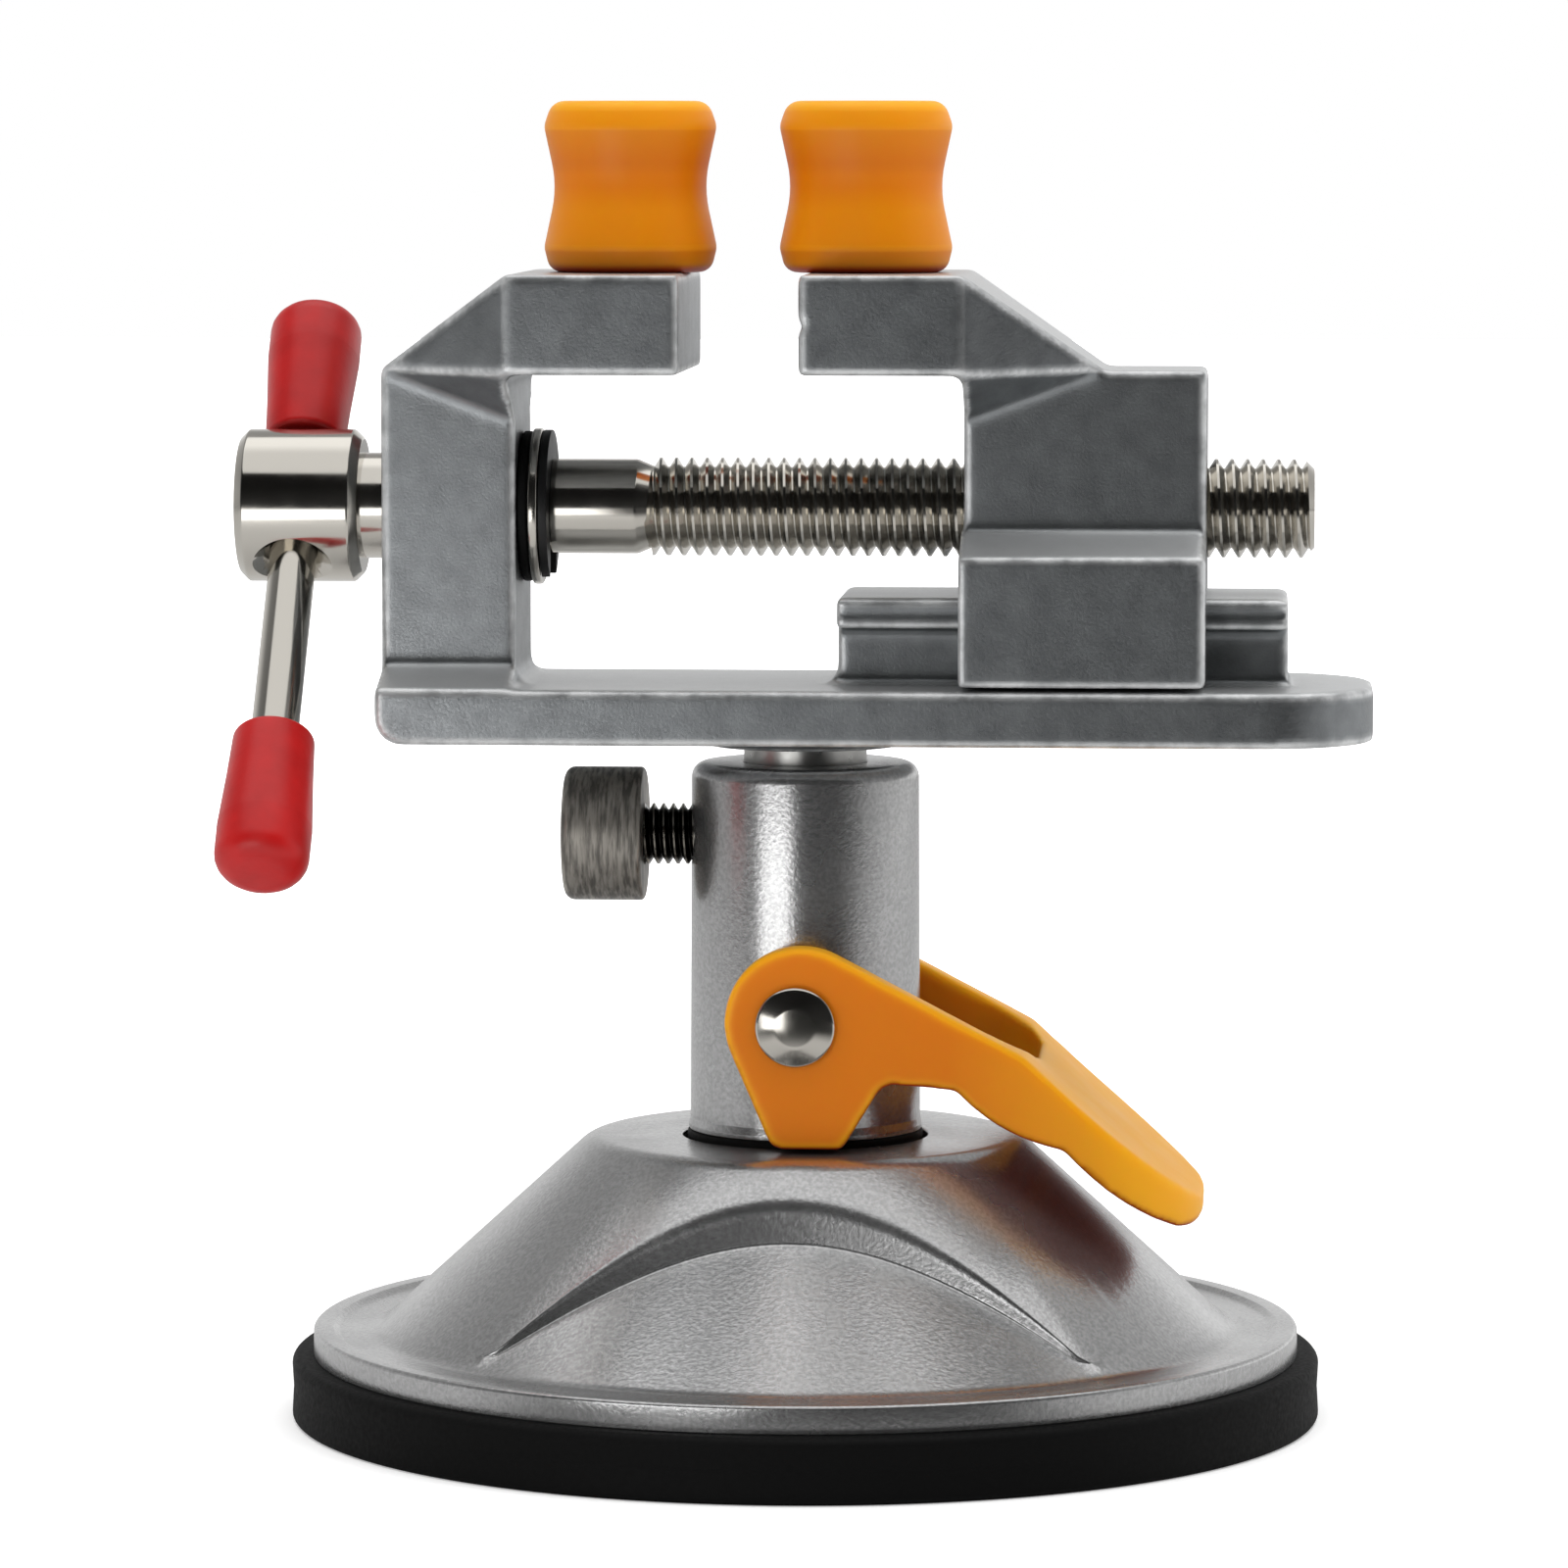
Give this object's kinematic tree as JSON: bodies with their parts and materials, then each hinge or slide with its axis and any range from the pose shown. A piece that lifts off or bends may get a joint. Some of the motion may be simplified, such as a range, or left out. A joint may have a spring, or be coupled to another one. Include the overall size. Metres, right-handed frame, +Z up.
{
  "type": "suction base vise",
  "caption": "Small bench vise with two padded jaws and a tommy-bar lead screw, on a swivel column and a lever-locked suction foot.",
  "frame": {"origin": "centre of the box's underside: on the column's axis, on the table that the rubber foot stands on", "axes": "+Z up along the column; +X along the lead screw, from its tommy-bar head towards the moving jaw; +Y across the jaws, to the back of the picture's view"},
  "size_m": [0.092, 0.084, 0.107],
  "materials": {
    "silver_paint": "satin silver, fine grain",
    "rubber_black": "matte",
    "cast_alloy": "tumbled casting, worn bright edges",
    "nickel_plate": "bright plated, lightly brushed",
    "black_steel": "blackened spring steel",
    "dark_steel": "oiled dark steel",
    "plain_steel": "plain turned steel",
    "brushed_zinc": "coarsely brushed",
    "amber_plastic": "semi-gloss, slightly translucent",
    "red_vinyl": "soft dipped vinyl, satin"
  },
  "bodies": {
    "base": {"base_shell": "silver_paint", "suction_pad": "rubber_black", "release_spring": "plain_steel"},
    "column": {"column": "silver_paint", "column_collar": "rubber_black", "pad_stud": "plain_steel", "stud_plate": "plain_steel", "lever_pin": "nickel_plate"},
    "lever": {"lever": "amber_plastic"},
    "clamp_stud": {"clamp_screw": "dark_steel"},
    "clamp_knob": {"clamp_knob": "brushed_zinc"},
    "vise_head": {"vise_body": "cast_alloy", "swivel_post": "plain_steel", "jaw_pad_fixed": "amber_plastic"},
    "moving_jaw": {"moving_jaw": "cast_alloy", "jaw_pad_moving": "amber_plastic"},
    "lead_screw": {"lead_screw": "nickel_plate", "fibre_washer": "rubber_black", "thrust_washer": "nickel_plate", "retaining_ring": "black_steel"},
    "tommy_bar": {"tommy_bar": "nickel_plate", "bar_cap_upper": "red_vinyl", "bar_cap_lower": "red_vinyl"}
  },
  "joints": [
    {"name": "column_slide", "type": "slide", "parent": "base", "child": "column", "axis": [0, 0, 1], "range_m": [-0.0012, 0], "deforming": ["suction_pad", "release_spring"]},
    {"name": "lever_pivot", "type": "hinge", "parent": "column", "child": "lever", "pos_m": [0, 0, 0.0333], "axis": [0, -1, 0], "range_deg": [0, 58]},
    {"name": "head_swivel", "type": "hinge", "parent": "column", "child": "vise_head", "pos_m": [0, 0, 0.0555], "axis": [0, 0, 1], "continuous": true},
    {"name": "screw_turn", "type": "hinge", "parent": "vise_head", "child": "lead_screw", "pos_m": [-0.0414, 0, 0.0742], "axis": [1, 0, 0], "range_deg": [-3916.8, 1440]},
    {"name": "jaw_slide", "type": "slide", "parent": "vise_head", "child": "moving_jaw", "axis": [1, 0, 0], "range_m": [-0.00501, 0.01361]},
    {"name": "tommy_slide", "type": "slide", "parent": "lead_screw", "child": "tommy_bar", "axis": [0, 0.6626, 0.749], "range_m": [0, 0.0174]},
    {"name": "clamp_feed", "type": "slide", "parent": "column", "child": "clamp_stud", "axis": [-1, 0, 0], "range_m": [-0.00028, 0.0016]},
    {"name": "clamp_turn", "type": "hinge", "parent": "clamp_stud", "child": "clamp_knob", "pos_m": [-0.016, 0, 0.0475], "axis": [-1, 0, 0], "range_deg": [-127, 721]}
  ],
  "couplings": [
    {"joint": "lever_pivot", "follows": "column_slide", "rad_per_m": -843.5},
    {"joint": "jaw_slide", "follows": "screw_turn", "m_per_rad": -0.00019894},
    {"joint": "clamp_turn", "follows": "clamp_feed", "rad_per_m": 7854}
  ]
}
